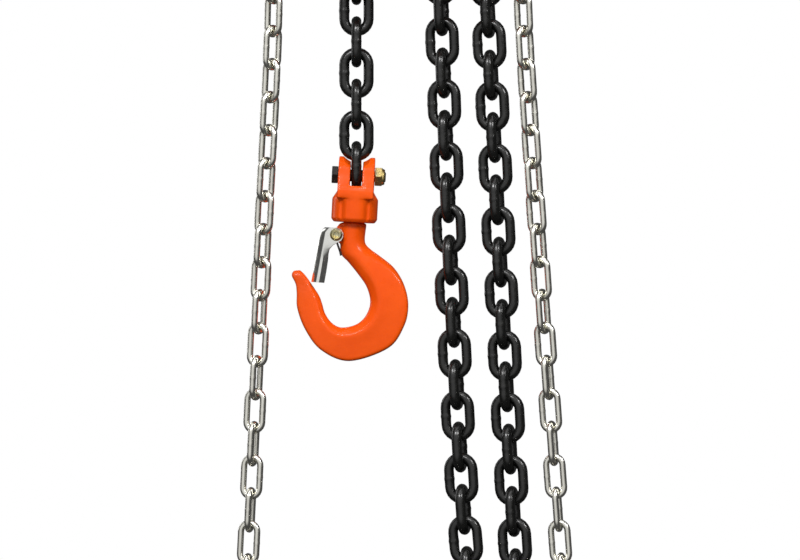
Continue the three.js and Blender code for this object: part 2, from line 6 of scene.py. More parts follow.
import bmesh
import bpy
from mathutils import Matrix, Vector

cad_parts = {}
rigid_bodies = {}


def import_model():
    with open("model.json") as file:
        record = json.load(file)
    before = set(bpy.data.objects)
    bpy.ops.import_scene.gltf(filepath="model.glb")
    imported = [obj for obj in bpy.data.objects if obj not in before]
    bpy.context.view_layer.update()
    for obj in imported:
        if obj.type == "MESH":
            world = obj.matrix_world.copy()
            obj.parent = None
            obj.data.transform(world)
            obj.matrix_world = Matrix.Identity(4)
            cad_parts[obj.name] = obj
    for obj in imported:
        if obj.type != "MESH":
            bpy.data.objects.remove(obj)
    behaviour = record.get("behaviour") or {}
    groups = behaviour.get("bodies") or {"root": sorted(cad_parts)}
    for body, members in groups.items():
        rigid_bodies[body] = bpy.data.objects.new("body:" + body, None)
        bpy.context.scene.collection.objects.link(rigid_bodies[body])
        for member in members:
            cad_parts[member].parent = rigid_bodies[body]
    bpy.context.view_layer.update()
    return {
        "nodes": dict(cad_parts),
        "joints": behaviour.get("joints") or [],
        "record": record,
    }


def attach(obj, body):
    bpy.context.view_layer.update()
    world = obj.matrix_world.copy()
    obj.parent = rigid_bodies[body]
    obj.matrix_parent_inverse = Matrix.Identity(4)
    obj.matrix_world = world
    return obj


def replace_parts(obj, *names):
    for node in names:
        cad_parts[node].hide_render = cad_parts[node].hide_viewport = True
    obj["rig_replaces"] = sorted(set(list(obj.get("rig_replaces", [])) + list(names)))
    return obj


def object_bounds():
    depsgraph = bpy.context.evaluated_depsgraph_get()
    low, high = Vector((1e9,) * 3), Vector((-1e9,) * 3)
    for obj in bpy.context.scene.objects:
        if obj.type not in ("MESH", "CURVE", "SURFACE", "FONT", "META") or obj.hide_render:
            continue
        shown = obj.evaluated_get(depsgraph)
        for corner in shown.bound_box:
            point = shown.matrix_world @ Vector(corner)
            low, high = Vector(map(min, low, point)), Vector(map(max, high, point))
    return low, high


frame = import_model()

# ---- Driving dimensions ----
MM = 0.001
LOAD_CHAIN = {"wire": 7.8 * MM, "pitch": 24 * MM, "width": 26.5 * MM}
HAND_CHAIN = {"wire": 4.85 * MM, "pitch": 25 * MM, "width": 17.5 * MM}
SHEAVE_RADIUS = 31.66 * MM
WHEEL_RADIUS = 95.8 * MM
WHEEL_Y = -55 * MM
SHEAVE_POCKETS = 4
WHEEL_POCKETS = 12
STRAND_LINKS = 12  # from the load hook up to the sheave
LINK_NODES = 5  # the lowest of them, each a CAD node of its own
STRAND_PIECE_LINKS = 5  # the next ones, which rise and sink with the strand
FIXED_UNDER_SHEAVE = 48 * MM  # links above this depth under the hoist axis stay with the frame
FIXED_UNDER_WHEEL = 100 * MM

JOINTS = {joint["name"]: joint for joint in frame["joints"]}
AXIS = Vector(JOINTS["hand_wheel_spin"]["pos_m"])
PIN = Vector(JOINTS["yoke_pivot"]["pos_m"])
SWIVEL = Vector(JOINTS["load_hook_swivel"]["axis"])
STRAND_X = AXIS.x - SHEAVE_RADIUS
QUARTER = math.pi / 2

# Load yoke and hook are measured from the chain pin, leaning with the swivel axis.
LOWER = Matrix.Translation(PIN) @ Matrix.Rotation(math.atan2(SWIVEL.x, SWIVEL.z), 4, "Y")
# The top hook is the same forging turned over, with the seat of its bowl on the origin.
SEAT_BELOW_PIN = 117.5 * MM
UPPER = Matrix.Rotation(math.pi, 4, "Y") @ Matrix.Translation((0, 0, SEAT_BELOW_PIN))

# ---- Camera ----
CAMERA_DISTANCE = 3.3
VIEW_WIDTH = 615.4 * MM
VIEW_CENTRE = Vector((33.5 * MM, 0, AXIS.z - 363.2 * MM))
SENSOR_WIDTH = 36.0

camera_data = bpy.data.cameras.new("camera")
camera_data.sensor_width = SENSOR_WIDTH
camera_data.lens = SENSOR_WIDTH * CAMERA_DISTANCE / VIEW_WIDTH
camera_data.clip_end = 50
camera = bpy.data.objects.new("camera", camera_data)
camera.location = VIEW_CENTRE + Vector((0, -CAMERA_DISTANCE, 0))
camera.rotation_euler = (math.pi / 2, 0, 0)
bpy.context.scene.collection.objects.link(camera)
bpy.context.scene.camera = camera
bpy.context.scene.view_settings.view_transform = "Standard"


# ---- Materials ----
class Look:
    """A node material on object coordinates, built up from small layers."""

    def __init__(self, name, **sockets):
        self.material = bpy.data.materials.new(name)
        self.material.use_nodes = True
        self.tree = self.material.node_tree
        self.shader = self.tree.nodes["Principled BSDF"]
        for socket, value in sockets.items():
            self.shader.inputs[socket.replace("_", " ")].default_value = value
        self.place = self.tree.nodes.new("ShaderNodeTexCoord").outputs["Object"]

    def link(self, output, socket):
        self.tree.links.new(output, socket)

    def stretched(self, scale):
        node = self.tree.nodes.new("ShaderNodeMapping")
        node.inputs["Scale"].default_value = scale
        self.link(self.place, node.inputs["Vector"])
        return node.outputs["Vector"]

    def noise(self, scale, detail=4.0, stretch=(1, 1, 1)):
        node = self.tree.nodes.new("ShaderNodeTexNoise")
        node.inputs["Scale"].default_value = scale
        node.inputs["Detail"].default_value = detail
        self.link(self.stretched(stretch), node.inputs["Vector"])
        return node.outputs["Fac"]

    def edges(self):
        return self.tree.nodes.new("ShaderNodeNewGeometry").outputs["Pointiness"]

    def ramp(self, value, *stops):
        node = self.tree.nodes.new("ShaderNodeValToRGB")
        elements = node.color_ramp.elements
        for (position, colour), element in zip(stops, (elements[0], elements[1])):
            element.position = position
            element.color = colour
        for position, colour in stops[2:]:
            elements.new(position).color = colour
        self.link(value, node.inputs["Fac"])
        return node.outputs["Color"]

    def span(self, value, low, high, low_at=0.3, high_at=0.7):
        node = self.tree.nodes.new("ShaderNodeMapRange")
        node.inputs["From Min"].default_value = low_at
        node.inputs["From Max"].default_value = high_at
        node.inputs["To Min"].default_value = low
        node.inputs["To Max"].default_value = high
        self.link(value, node.inputs["Value"])
        return node.outputs["Result"]

    def mix(self, factor, first, second):
        node = self.tree.nodes.new("ShaderNodeMix")
        node.data_type = "RGBA"
        self.link(factor, node.inputs["Factor"])
        a, b = [s for s in node.inputs if s.type == "RGBA"]
        for socket, colour in ((a, first), (b, second)):
            if isinstance(colour, tuple):
                socket.default_value = colour
            else:
                self.link(colour, socket)
        return [s for s in node.outputs if s.type == "RGBA"][0]

    def colour(self, output):
        self.link(output, self.shader.inputs["Base Color"])

    def roughness(self, output):
        self.link(output, self.shader.inputs["Roughness"])

    def bump(self, *layers):
        previous = None
        for height, distance in layers:
            node = self.tree.nodes.new("ShaderNodeBump")
            node.inputs["Distance"].default_value = distance
            self.link(height, node.inputs["Height"])
            if previous:
                self.link(previous, node.inputs["Normal"])
            previous = node.outputs["Normal"]
        self.link(previous, self.shader.inputs["Normal"])


def orange_paint():
    look = Look("orange_paint", Specular_IOR_Level=0.12, Coat_Weight=0.14, Coat_Roughness=0.06)
    tone = look.ramp(look.noise(45), (0.3, (0.84, 0.082, 0.002, 1)), (0.7, (0.90, 0.098, 0.003, 1)))
    edge = look.ramp(look.edges(), (0.52, (0, 0, 0, 1)), (0.60, (1, 1, 1, 1)))
    look.colour(look.mix(edge, tone, (0.55, 0.045, 0.005, 1)))
    look.roughness(look.span(look.noise(160), 0.24, 0.36))
    look.bump((look.noise(38, 3), 0.0011), (look.noise(900, 2), 0.00006))
    return look.material


def black_chain():
    look = Look("black_chain", Specular_IOR_Level=0.5, Coat_Weight=0.2, Coat_Roughness=0.1)
    fleck = look.noise(260, 6)
    look.colour(look.ramp(fleck, (0.35, (0.003, 0.0032, 0.0028, 1)), (0.75, (0.011, 0.011, 0.010, 1))))
    look.roughness(look.span(look.noise(420), 0.2, 0.38))
    look.bump((look.noise(500, 4), 0.00016))
    return look.material


def zinc(name, light, dark, rough):
    look = Look(name, Metallic=1.0)
    fine, relief = 60, 0.00003
    look.colour(look.ramp(look.noise(fine, 5), (0.3, dark), (0.65, light)))
    look.roughness(look.span(look.noise(fine * 4, 3), *rough))
    look.bump((look.noise(fine * 3, 3), relief))
    return look.material


def yellow_zinc():
    look = Look("yellow_zinc", Metallic=1.0)
    film = look.ramp(
        look.noise(120, 3), (0.25, (0.62, 0.44, 0.16, 1)), (0.75, (0.62, 0.50, 0.36, 1)),
        (0.5, (0.72, 0.58, 0.24, 1)), (0.62, (0.48, 0.46, 0.30, 1)))
    look.colour(film)
    look.roughness(look.span(look.noise(500), 0.22, 0.38))
    look.bump((look.noise(900, 3), 0.0001))
    return look.material


def black_bolt():
    look = Look("black_bolt", Metallic=0.4)
    look.colour(look.ramp(look.noise(300), (0.3, (0.012, 0.011, 0.011, 1)), (0.7, (0.035, 0.03, 0.028, 1))))
    look.roughness(look.span(look.noise(600), 0.34, 0.5))
    look.bump((look.noise(1200, 3), 0.0001))
    return look.material


def machined_steel():
    look = Look("machined_steel", Metallic=1.0)
    turned = look.noise(90, 2, (1, 14, 1))
    look.colour(look.ramp(turned, (0.3, (0.36, 0.36, 0.37, 1)), (0.7, (0.52, 0.53, 0.54, 1))))
    look.roughness(look.span(look.noise(300), 0.26, 0.42))
    look.bump((turned, 0.00012))
    return look.material


def wheel_grey():
    look = Look("wheel_grey", Metallic=0.1)
    look.colour(look.ramp(look.noise(60), (0.3, (0.07, 0.075, 0.08, 1)), (0.7, (0.11, 0.115, 0.12, 1))))
    look.roughness(look.span(look.noise(200), 0.4, 0.6))
    look.bump((look.noise(450, 5), 0.0004))
    return look.material


def brake_lining():
    look = Look("brake_lining", Metallic=0.0)
    fleck = look.noise(900, 2)
    look.colour(look.ramp(fleck, (0.45, (0.10, 0.06, 0.035, 1)), (0.66, (0.34, 0.25, 0.13, 1))))
    look.roughness(look.span(look.noise(500), 0.7, 0.9))
    look.bump((fleck, 0.0002))
    return look.material


MATERIALS = {
    "orange_paint": orange_paint(),
    "black_chain": black_chain(),
    "zinc_chain": zinc("zinc_chain", (0.88, 0.87, 0.79, 1), (0.78, 0.76, 0.69, 1), (0.2, 0.3)),
    "zinc_parts": zinc("zinc_parts", (0.94, 0.94, 0.90, 1), (0.84, 0.84, 0.80, 1), (0.14, 0.24)),
    "yellow_zinc": yellow_zinc(),
    "black_bolt": black_bolt(),
    "machined_steel": machined_steel(),
    "wheel_grey": wheel_grey(),
    "brake_lining": brake_lining(),
}
SLOT_OF = {entry["node"]: entry["material_slot"] for entry in frame["record"]["subparts"]}
BODY_OF = {node: body for body, nodes in frame["record"]["behaviour"]["bodies"].items() for node in nodes}


# ---- Making pieces ----
def piece(name, mesh, slot, body, replaced=(), sharp=40):
    """A named object that rides on a CAD body and wears one of the record's finishes.

    Edges that turn by more than sharp degrees stay crisp, and the rest are shaded smooth."""
    mesh.set_sharp_from_angle(angle=math.radians(sharp))
    made = bpy.data.objects.new(name, mesh)
    bpy.context.scene.collection.objects.link(made)
    mesh.materials.clear()
    mesh.materials.append(MATERIALS[slot])
    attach(made, body)
    if replaced:
        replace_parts(made, *replaced)
    return made


def mesh_from(name, vertices, faces, place=Matrix.Identity(4)):
    """A mesh with its faces pointing out, each vertex moved by place."""
    mesh = bpy.data.meshes.new(name)
    mesh.from_pydata([place @ Vector(v) for v in vertices], [], faces)
    mesh.validate()
    shell = bmesh.new()
    shell.from_mesh(mesh)
    bmesh.ops.recalc_face_normals(shell, faces=shell.faces)
    shell.to_mesh(mesh)
    shell.free()
    mesh.shade_smooth()
    return mesh


def loft(rings, closed=False):
    """Vertices and faces of a skin over rings of equal point count, capped at both ends if open."""
    around = len(rings[0])
    count = len(rings)
    vertices = [point for ring in rings for point in ring]
    faces = []
    for i in range(count if closed else count - 1):
        for j in range(around):
            k = (j + 1) % around
            n = (i + 1) % count
            faces.append((i * around + j, i * around + k, n * around + k, n * around + j))
    if not closed:
        faces.append(tuple(range(around)))
        faces.append(tuple((count - 1) * around + j for j in range(around)))
    return vertices, faces


def applied(mesh, **modifiers):
    """The mesh after the given modifiers, in order."""
    holder = bpy.data.objects.new("holder", mesh)
    bpy.context.scene.collection.objects.link(holder)
    for kind, settings in modifiers.items():
        modifier = holder.modifiers.new(kind, kind)
        for key, value in settings.items():
            setattr(modifier, key, value)
    graph = bpy.context.evaluated_depsgraph_get()
    result = bpy.data.meshes.new_from_object(holder.evaluated_get(graph))
    bpy.data.objects.remove(holder)
    return result


SAME_CORNER = 0.02 * MM
SAME_FACE = math.radians(1)


def cad_copy(node):
    """The node's mesh with shared corners and flat faces in one piece."""
    mesh = frame["nodes"][node].data.copy()
    shell = bmesh.new()
    shell.from_mesh(mesh)
    bmesh.ops.remove_doubles(shell, verts=shell.verts, dist=SAME_CORNER)
    bmesh.ops.dissolve_limit(shell, angle_limit=SAME_FACE, verts=shell.verts, edges=shell.edges)
    shell.to_mesh(mesh)
    shell.free()
    if "sharp_face" in mesh.attributes:
        mesh.attributes.remove(mesh.attributes["sharp_face"])
    mesh.shade_smooth()
    return mesh


def chamfered(node, width):
    """A CAD node with its sharp edges broken, as a machined or pressed piece has them."""
    bevel = {
        "width": width * MM,
        "segments": 2,
        "limit_method": "ANGLE",
        "angle_limit": math.radians(32),
        "use_clamp_overlap": True,
    }
    mesh = applied(cad_copy(node), BEVEL=bevel, WEIGHTED_NORMAL={"keep_sharp": True})
    return piece(f"{node}_finish", mesh, SLOT_OF[node], BODY_OF[node], (node,), sharp=34)


def forged(name, mesh, body, replaced, voxel, smooth, sculpt=None):
    """A painted piece melted into one skin with soft transitions, as a forging has them."""
    mesh = applied(
        mesh,
        REMESH={"mode": "VOXEL", "voxel_size": voxel * MM, "use_smooth_shade": True},
        SMOOTH={"factor": 0.5, "iterations": smooth})
    if sculpt:
        sculpt(mesh)
    mesh.shade_smooth()
    return piece(name, mesh, "orange_paint", body, replaced, sharp=80)


def joined(*parts):
    """Several (vertices, faces) lists as one."""
    vertices, faces = [], []
    for part_vertices, part_faces in parts:
        start = len(vertices)
        vertices += list(part_vertices)
        faces += [tuple(start + index for index in face) for face in part_faces]
    return vertices, faces


def turned(profile, axis, sides=48):
    """A profile of (radius, height) pairs in millimetres turned about an axis matrix's Z."""
    rings = []
    for radius, height in profile:
        ring = []
        for j in range(sides):
            angle = 2 * math.pi * j / sides
            ring.append(axis @ (Vector((radius * math.cos(angle), radius * math.sin(angle), height)) * MM))
        rings.append(ring)
    return loft(rings)


# ---- Curves and chains ----
def smooth_route(points, steps=14):
    """A dense line through given points, by centripetal Catmull-Rom."""
    ends = [points[0] * 2 - points[1], *points, points[-1] * 2 - points[-2]]
    line = []
    for i in range(1, len(ends) - 2):
        p0, p1, p2, p3 = ends[i - 1:i + 3]
        t1 = (p1 - p0).length ** 0.5
        t2 = t1 + (p2 - p1).length ** 0.5
        t3 = t2 + (p3 - p2).length ** 0.5
        for k in range(steps):
            t = t1 + (t2 - t1) * k / steps
            a1 = p0 * ((t1 - t) / t1) + p1 * (t / t1)
            a2 = p1 * ((t2 - t) / (t2 - t1)) + p2 * ((t - t1) / (t2 - t1))
            a3 = p2 * ((t3 - t) / (t3 - t2)) + p3 * ((t - t2) / (t3 - t2))
            b1 = a1 * ((t2 - t) / t2) + a2 * (t / t2)
            b2 = a2 * ((t3 - t) / (t3 - t1)) + a3 * ((t - t1) / (t3 - t1))
            line.append(b1 * ((t2 - t) / (t2 - t1)) + b2 * ((t - t1) / (t2 - t1)))
    line.append(points[-1].copy())
    return line


HALVINGS = 30  # enough to settle a search by halves


def walk(line, pitch):
    """Points on a dense line, each a straight pitch from the last, and the part of a pitch left over."""
    stops = [line[0]]
    for i in range(1, len(line)):
        while (line[i] - stops[-1]).length >= pitch:
            low, high = 0.0, 1.0
            for _ in range(HALVINGS):
                middle = (low + high) / 2
                ahead = line[i - 1].lerp(line[i], middle)
                if (ahead - stops[-1]).length < pitch:
                    low = middle
                else:
                    high = middle
            stops.append(line[i - 1].lerp(line[i], high))
    return stops, (line[-1] - stops[-1]).length / pitch


def even_links(route, pitch):
    """Stops along route(depth), its depth chosen so that a whole, even number of links closes it."""
    def links(depth):
        stops, rest = walk(smooth_route(route(depth)), pitch)
        return len(stops) - 1 + rest

    wanted = 2 * round(links(0.0) / 2)
    low, high = -pitch, pitch
    for _ in range(HALVINGS):
        middle = (low + high) / 2
        if links(middle) < wanted:
            low = middle
        else:
            high = middle
    line = smooth_route(route(high))
    stops, _ = walk(line, pitch)
    return stops[:wanted] + [line[-1]]


BEND_STEPS = 12
LEG_STEPS = 14
WELD_BEAD = 0.08  # how far the weld stands out, and below its width, as parts of the wire's radius
WELD_WIDTH = 0.35


def link_shape(chain, around=14):
    """One link, long along Z and wide along X, with the weld bead on the middle of one leg."""
    wire = chain["wire"] / 2
    bend = (chain["width"] - chain["wire"]) / 2
    straight = (chain["pitch"] + chain["wire"]) / 2 - bend
    rings = []
    for side in (1, -1):
        turn = 0 if side > 0 else math.pi
        for i in range(BEND_STEPS + 1):
            angle = turn + math.pi * i / BEND_STEPS
            out = Vector((math.cos(angle), 0, math.sin(angle)))
            rings.append((out * bend + Vector((0, 0, side * straight)), out, wire))
        for i in range(1, LEG_STEPS):
            along = side * straight * (1 - 2 * i / LEG_STEPS)
            bead = WELD_BEAD * math.exp(-((along / (wire * WELD_WIDTH)) ** 2)) if side > 0 else 0.0
            out = Vector((-side, 0, 0))
            rings.append((out * bend + Vector((0, 0, along)), out, wire * (1 + bead)))
    skin = []
    for centre, out, radius in rings:
        skin.append([
            centre + out * (radius * math.cos(2 * math.pi * j / around))
            + Vector((0, radius * math.sin(2 * math.pi * j / around), 0))
            for j in range(around)])
    return loft(skin, closed=True)


def link_place(centre, along, turn):
    """Where a link goes: its length along a direction in the XZ plane, its width turned from it."""
    z = along.normalized()
    side = Vector((0, 1, 0)).cross(z).normalized()
    x = side * math.cos(turn) + Vector((0, 1, 0)) * math.sin(turn)
    y = z.cross(x)
    return Matrix((
        (x.x, y.x, z.x, centre.x), (x.y, y.y, z.y, centre.y), (x.z, y.z, z.z, centre.z), (0, 0, 0, 1)))


def chain_piece(name, chain, places, slot, body, replaced):
    """A row of links in one piece, standing for one CAD node."""
    vertices, faces = link_shape(chain)
    copies = [([place @ v for v in vertices], faces) for place in places]
    piece(name, mesh_from(name, *joined(*copies)), slot, body, (replaced,), sharp=60)


def from_axis(x, z, y=0.0):
    return AXIS + Vector((x * MM, y, z * MM))


LOWEST_LINK = PIN.z + 7 * MM


def strand_links():
    """Links straight above the load hook: the first has its flat side across the hoist axis."""
    for k in range(STRAND_LINKS):
        centre = Vector((STRAND_X, 0, LOWEST_LINK + LOAD_CHAIN["pitch"] * k))
        yield link_place(centre, Vector((0, 0, 1)), QUARTER if k % 2 == 0 else 0)


def wrapped_links(radius, y, pockets, flat_first):
    """Links lying over the top half of a pocketed wheel, from its left side to its right."""
    for i in range(pockets):
        angle = math.pi - math.pi * (i + 0.5) / pockets
        out = Vector((math.cos(angle), 0, math.sin(angle)))
        centre = AXIS + Vector((0, y, 0)) + out * (radius * math.cos(math.pi / (2 * pockets)))
        along = Vector((-out.z, 0, out.x))
        flat = (i % 2 == 0) == flat_first
        yield link_place(centre, along, QUARTER if flat else 0)


def hanging_links(stops, flat_first, twist):
    """Links between neighbouring stops, alternately flat and upright, with a slow twist on top."""
    for i, (start, end) in enumerate(zip(stops, stops[1:])):
        centre = (start + end) / 2
        flat = (i % 2 == 0) == flat_first
        turn = QUARTER if flat else 0
        if end.z < start.z:
            turn += math.pi  # the weld stays on the same side on the way down
        yield centre, link_place(centre, end - start, turn + twist(i, centre))


def ease(value, start, end):
    """0 before start, 1 after end, and a smooth rise between them."""
    t = min(max((value - start) / (end - start), 0), 1)
    return t * t * (3 - 2 * t)


def load_chain():
    """The strand over the load hook, the turn over the sheave, and the slack loop to the tail pin."""
    def black_links(name, places, node):
        chain_piece(name, LOAD_CHAIN, places, "black_chain", BODY_OF[node], node)

    strand = list(strand_links())
    for k, place in enumerate(strand[:LINK_NODES]):
        node = f"load_link_{k + 1}"
        black_links(f"{node}_forged", [place], node)
    upper = strand[LINK_NODES:]
    black_links("load_chain_strand_links", upper[:STRAND_PIECE_LINKS], "load_chain_strand")

    def route(depth):
        down = [(31.66, 0), (31.7, -64), (32.1, -105), (33.3, -148), (41.2, -363), (53.7, -578)]
        bend = [(58.5, -618), (66, -635.5), (77, -641.5), (87.5, -635.5), (93.5, -618)]
        up = [(91, -578), (79.4, -363), (68.9, -148), (67.2, -122), (66, -104), (65.2, -73.8)]
        bend = [(x, z - depth / MM) for x, z in bend]
        return [from_axis(x, z) for x, z in down + bend + up]

    stops = even_links(route, LOAD_CHAIN["pitch"])
    middle = len(stops) / 2

    def twist(i, centre):
        below = (AXIS.z - centre.z) / MM
        most = math.radians(13 if i < middle else -13)
        return most * ease(below, 60, 150) * (1 - ease(below, 585, 620))

    links = list(hanging_links(stops, True, twist))
    limit = AXIS.z - FIXED_UNDER_SHEAVE
    fixed = [place for centre, place in links if centre.z > limit]
    hanging = [place for centre, place in links if centre.z <= limit]
    over = list(wrapped_links(SHEAVE_RADIUS, 0, SHEAVE_POCKETS, True))
    on_frame = upper[STRAND_PIECE_LINKS:] + over + fixed
    black_links("load_chain_on_sheave_links", on_frame, "load_chain_on_sheave")
    black_links("load_chain_slack_links", hanging, "load_chain_slack")


def hand_chain():
    """The endless loop over the hand wheel, its links turned more and more along each strand."""
    def route(depth):
        down = [(95.8, 0), (95.6, -50), (95, -101), (94.7, -150), (108.5, -363), (123.9, -575)]
        bend = [(129, -640), (117, -694), (78, -727), (5, -738)]
        bend += [(-68, -727), (-106, -694), (-116.8, -640)]
        up = [(-113.3, -575), (-103.4, -363), (-93.6, -150), (-95, -101), (-95.6, -50), (-95.8, 0)]
        bend = [(x, z - depth / MM) for x, z in bend]
        return [from_axis(x, z, WHEEL_Y) for x, z in down + bend + up]

    stops = even_links(route, HAND_CHAIN["pitch"])
    middle = len(stops) / 2

    def twist(i, centre):
        below = (AXIS.z - centre.z) / MM
        change = 0.72 * ease(below, 230, 560)
        return math.radians(45) * ease(below, 20, 130) * (1 - change if i < middle else 1 + change)

    links = list(hanging_links(stops, False, twist))
    limit = AXIS.z - FIXED_UNDER_WHEEL
    fixed = [place for centre, place in links if centre.z > limit]
    hanging = [place for centre, place in links if centre.z <= limit]
    over = list(wrapped_links(WHEEL_RADIUS, WHEEL_Y, WHEEL_POCKETS, False))
    for name, places, node in (
            ("hand_chain_on_wheel_links", over + fixed, "hand_chain_on_wheel"),
            ("hand_chain_links", hanging, "hand_chain_loop")):
        chain_piece(name, HAND_CHAIN, places, "zinc_chain", BODY_OF[node], node)


load_chain()
hand_chain()

# ---- Hooks ----
# Pairs of points on the inner and outer outline of the hook, from the shank round the bowl to the
# tip, with the thickness across each pair, as in the CAD. Millimetres from the pin.
HOOK_STATIONS = [
    (-9.5, -36.5, 9.5, -36.5, 19), (-9.5, -50, 8.9, -50, 19), (-8.4, -60.5, 13, -55.5, 20),
    (-2.5, -66.6, 21, -60.8, 21.5), (5.5, -75.5, 32.5, -69.5, 23), (12.6, -85, 41, -82.5, 24.5),
    (16, -96.4, 44.8, -98, 25.5), (13.2, -107, 42.2, -114, 25.5), (6.2, -114.3, 31, -131, 25),
    (-5, -117.5, 2, -142.3, 23.5), (-12.8, -114.6, -20, -135, 21), (-18.6, -107.6, -33, -119.8, 18),
    (-21.6, -99.5, -39.8, -104, 15.5), (-24.2, -93.5, -40.8, -93, 13.5), (-29.2, -86.6, -42, -85.6, 11),
    (-35.5, -78.6, -45.4, -79.2, 8.5), (-39.8, -74.8, -44.2, -75.4, 5),
]
LATCH_HINGE = Vector((-13, 0, -46.1)) * MM
BOWL_SHIFT = 5.0  # millimetres that put the top hook's bowl over its shank


def shifted(x, z, offset):
    """Moves the bowl sideways and leaves the shank where it is."""
    return x + offset * min(max((-z - 50) / 35, 0), 1)


def catmull(values, t):
    """Uniform Catmull-Rom through a list of vectors, t from 0 to 1."""
    last = len(values) - 1
    place = min(t * last, last - 1e-9)
    i = int(place)
    f = place - i
    p1, p2 = values[i], values[i + 1]
    p0 = values[i - 1] if i > 0 else p1 * 2 - p2
    p3 = values[i + 2] if i + 2 <= last else p2 * 2 - p1
    return 0.5 * ((2 * p1) + (p2 - p0) * f + (2 * p0 - 5 * p1 + 4 * p2 - p3) * f * f
                  + (3 * p1 - p0 - 3 * p2 + p3) * f ** 3)


# Half of the bowl's cross-section, from the inner edge to the outer one: a flat cheek with a broad
# chamfer towards the inside. Parts of the half depth and of the half thickness.
CHEEK = [
    (-1, 0), (-1, 0.28), (-0.99, 0.46), (-0.94, 0.6), (-0.82, 0.74), (-0.64, 0.9), (-0.55, 0.965),
    (-0.42, 1), (0, 1), (0.5, 1), (0.84, 0.995), (0.93, 0.96), (0.98, 0.86), (1, 0.6), (1, 0.3), (1, 0),
]
FORGING_SWELL = 0.3 * MM  # what smoothing takes off again


def hook_section(forged_flat):
    """Half of a cross-section as (reach, width) pairs: round at 0, with the bowl's cheek at 1."""
    last = len(CHEEK) - 1
    for i, (reach, width) in enumerate(CHEEK):
        angle = math.pi * i / last
        yield (-math.cos(angle) * (1 - forged_flat) + reach * forged_flat,
               math.sin(angle) * (1 - forged_flat) + width * forged_flat)


def hook_skin(offset, along=130):
    """The hook's body from the neck round the bowl to the tip."""
    inner = [Vector((shifted(s[0], s[1], offset), 0, s[1])) * MM for s in HOOK_STATIONS]
    outer = [Vector((shifted(s[2], s[3], offset), 0, s[3])) * MM for s in HOOK_STATIONS]
    thick = [Vector((s[4] * MM, 0, 0)) for s in HOOK_STATIONS]
    rings = []
    for i in range(along + 1):
        t = i / along
        a, b, width = catmull(inner, t), catmull(outer, t), catmull(thick, t).x
        centre = (a + b) / 2
        reach = (b - a) / 2
        reach *= 1 + FORGING_SWELL / reach.length
        half = list(hook_section(ease(t, 0.12, 0.36)))
        ring = []
        for side, points in ((1, half), (-1, half[-2:0:-1])):
            for forward, across in points:
                point = centre + reach * forward
                point.y = side * (width / 2 + FORGING_SWELL) * across * (1 - 0.1 * forward)
                ring.append(point)
        rings.append(ring)
    return loft(rings)


HINGE_LINE = Matrix.Translation(LATCH_HINGE) @ Matrix.Rotation(-QUARTER, 4, "X")


def hook(place, name, offset):
    """The forged hook: body, shank, collar, and the lug that carries the latch."""
    upright = Matrix.Identity(4)
    shank = turned([(1, -52), (7.5, -52), (7.5, -15), (6.6, -14.2), (1, -14.2)], upright)
    collar = turned([(1, -42), (9.3, -42), (9.3, -37), (8.6, -36.6), (1, -36.6)], upright)
    half = 4.4
    lug = turned([(1, -half), (4.9, -half), (4.9, half), (1, half)], HINGE_LINE, sides=40)
    web = [(-13, -50.8), (-6, -55), (-6, -36.6), (-11, -37.4), (-13.6, -41.2)]
    plate = loft([[Vector((x, y, z)) * MM for x, z in web] for y in (-half, half)])
    vertices, faces = joined(hook_skin(offset), shank, collar, lug, plate)
    mesh = mesh_from(name, vertices, faces, place)
    forged(f"{name}_forging", mesh, BODY_OF[name], (name,), voxel=0.75, smooth=6)


hook(LOWER, "load_hook", 0.0)
hook(UPPER, "top_hook", BOWL_SHIFT)


def yoke_details(mesh):
    """Ears that run softly into the barrel, and forged hollows either side of its middle lug."""
    back = LOWER.inverted()
    shell = bmesh.new()
    shell.from_mesh(mesh)
    places = {vertex: (back @ vertex.co) / MM for vertex in shell.verts}
    shoulder_zone = [(v, p) for v, p in places.items() if -21 < p.z < -7 and abs(p.y) > 10.5]
    for half_width, rounds in ((11.5, 50), (13.2, 14)):
        shoulder = [v for v, p in shoulder_zone if abs(p.x) < half_width]
        for _ in range(rounds):
            bmesh.ops.smooth_vert(
                shell, verts=shoulder, factor=0.5, use_axis_x=False, use_axis_y=True, use_axis_z=False)
    for vertex in shell.verts:
        local = back @ vertex.co
        x, y, z = local / MM
        depth = 1.5 * math.exp(-(((abs(x) - 9.6) / 1.7) ** 2))
        depth *= ease(z, -37.5, -32) * (1 - ease(z, -24, -17))
        local.y -= math.copysign(depth * ease(abs(y), 6, 10), y) * MM
        vertex.co = LOWER @ local
    shell.to_mesh(mesh)
    shell.free()


for node, voxel, sculpt in (("load_yoke", 0.55, yoke_details), ("top_yoke", 0.6, None)):
    forged(f"{node}_forging", cad_copy(node), BODY_OF[node], (node,), voxel, smooth=5, sculpt=sculpt)


